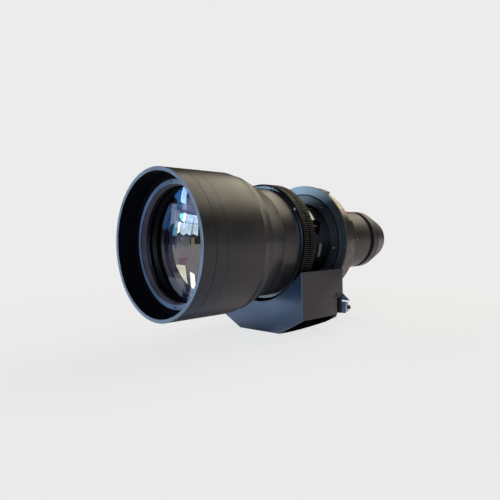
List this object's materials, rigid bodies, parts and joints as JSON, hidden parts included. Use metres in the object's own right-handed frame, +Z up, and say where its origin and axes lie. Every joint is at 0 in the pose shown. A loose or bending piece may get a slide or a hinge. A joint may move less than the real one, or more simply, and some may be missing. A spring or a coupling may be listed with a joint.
{
  "type": "projector lens",
  "caption": "Motorised zoom projection lens: hooded front barrel, toothed focus and zoom rings, drive box, bayonet ring and long rear barrel.",
  "frame": {"origin": "on the optical axis, in the plane of the bayonet ring's rear seat", "axes": "+Y along the optical axis toward the rear barrel that goes into the projector, +Z up with the drive box below, -Y toward the screen"},
  "size_m": [0.15, 0.3663, 0.1786],
  "materials": {
    "black_satin": "satin black anodised",
    "black_matte": "flat black inside paint",
    "black_sheet": "fine textured black paint",
    "bright_metal": "machined and passivated, faint rainbow tint",
    "front_glass": "coated optical glass",
    "inner_glass": "coated optical glass",
    "steel": "machined",
    "brass": "machined",
    "black_plastic": "moulded, satin",
    "board_green": "solder-resist lacquer",
    "gold_contact": "gold flash",
    "white_paint": "ink",
    "red_paint": "ink",
    "cream_plate": "satin",
    "grey_plate": "satin",
    "washer_white": "moulded"
  },
  "bodies": {
    "lens_core": {"main_barrel": "black_matte", "zoom_guide_tube": "black_matte", "zoom_index_line": "red_paint", "cam_retainer": "black_satin", "mount_flange": "black_satin", "bayonet_ring": "bright_metal", "mount_screws": "steel", "rear_barrel": "black_satin", "barrel_flange": "black_satin", "relay_front_cell": "black_matte", "relay_rear_cell": "black_matte", "relay_glasses": "inner_glass", "relay_stop_rings": "black_matte", "rear_collar": "black_matte", "rear_cell": "black_satin", "rear_element": "inner_glass", "box_front_plate": "black_sheet", "box_cover": "black_sheet", "box_screws": "steel", "box_rear_plate": "black_sheet", "motor_plate": "bright_metal", "motor_plate_screws": "steel", "drive_pillars": "steel", "focus_motor": "steel", "zoom_motor": "steel", "focus_sensor": "black_plastic", "zoom_sensor": "black_plastic", "control_board": "board_green", "dock_bracket": "bright_metal", "dock_connector": "black_plastic", "dock_contacts": "gold_contact", "dock_side_screw": "washer_white"},
    "focus_carriage": {"hood": "black_satin", "front_barrel": "black_satin", "front_cell": "black_matte", "front_element": "front_glass", "second_element": "inner_glass", "third_element": "inner_glass", "front_group_rings": "black_matte", "front_retaining_ring": "black_satin", "focus_key_pins": "steel"},
    "focus_ring": {"focus_gear_ring": "black_satin", "focus_helicoid_sleeve": "brass", "focus_index_dot": "white_paint"},
    "zoom_ring": {"zoom_gear_ring": "black_satin", "zoom_drive_plate": "black_satin", "drive_plate_screws": "steel", "zoom_cam_tube": "black_satin", "zoom_scale_plate": "cream_plate", "zoom_end_stop": "grey_plate"},
    "zoom_front_group": {"zoom_front_cell": "black_matte", "zoom_front_cell_glass": "inner_glass", "zoom_front_cell_followers": "brass"},
    "zoom_rear_group": {"zoom_rear_cell": "black_matte", "zoom_rear_cell_glass": "inner_glass", "zoom_rear_cell_followers": "brass"},
    "focus_pinion_body": {"focus_pinion": "brass"},
    "zoom_pinion_body": {"zoom_pinion": "brass"},
    "focus_sensor_body": {"focus_sensor_gear": "brass"},
    "zoom_sensor_body": {"zoom_sensor_gear": "brass"}
  },
  "joints": [
    {"name": "focus_ring_turn", "type": "hinge", "parent": "lens_core", "child": "focus_ring", "pos_m": [0, -0.088, 0], "axis": [0, 1, 0], "range_deg": [0, 60]},
    {"name": "focus_slide", "type": "slide", "parent": "lens_core", "child": "focus_carriage", "axis": [0, -1, 0], "range_m": [0, 0.005]},
    {"name": "focus_pinion_turn", "type": "hinge", "parent": "lens_core", "child": "focus_pinion_body", "pos_m": [-0.03077, -0.088, -0.06598], "axis": [0, 1, 0], "range_deg": [-564, 0]},
    {"name": "focus_sensor_turn", "type": "hinge", "parent": "lens_core", "child": "focus_sensor_body", "pos_m": [-0.04778, -0.088, -0.05306], "axis": [0, 1, 0], "range_deg": [-705, 0]},
    {"name": "zoom_ring_turn", "type": "hinge", "parent": "lens_core", "child": "zoom_ring", "pos_m": [0, -0.078, 0], "axis": [0, 1, 0], "range_deg": [0, 40]},
    {"name": "zoom_front_slide", "type": "slide", "parent": "lens_core", "child": "zoom_front_group", "axis": [0, -1, 0], "range_m": [0, 0.008]},
    {"name": "zoom_rear_slide", "type": "slide", "parent": "lens_core", "child": "zoom_rear_group", "axis": [0, 1, 0], "range_m": [0, 0.006]},
    {"name": "zoom_pinion_turn", "type": "hinge", "parent": "lens_core", "child": "zoom_pinion_body", "pos_m": [0.03077, -0.078, -0.06598], "axis": [0, 1, 0], "range_deg": [-376, 0]},
    {"name": "zoom_sensor_turn", "type": "hinge", "parent": "lens_core", "child": "zoom_sensor_body", "pos_m": [0.04778, -0.078, -0.05306], "axis": [0, 1, 0], "range_deg": [-470, 0]}
  ],
  "couplings": [
    {"joint": "focus_slide", "follows": "focus_ring_turn", "m_per_rad": 0.0047746},
    {"joint": "focus_pinion_turn", "follows": "focus_ring_turn", "ratio": -9.4},
    {"joint": "focus_sensor_turn", "follows": "focus_ring_turn", "ratio": -11.75},
    {"joint": "zoom_front_slide", "follows": "zoom_ring_turn", "m_per_rad": 0.011459},
    {"joint": "zoom_rear_slide", "follows": "zoom_ring_turn", "m_per_rad": 0.0085943},
    {"joint": "zoom_pinion_turn", "follows": "zoom_ring_turn", "ratio": -9.4},
    {"joint": "zoom_sensor_turn", "follows": "zoom_ring_turn", "ratio": -11.75}
  ]
}
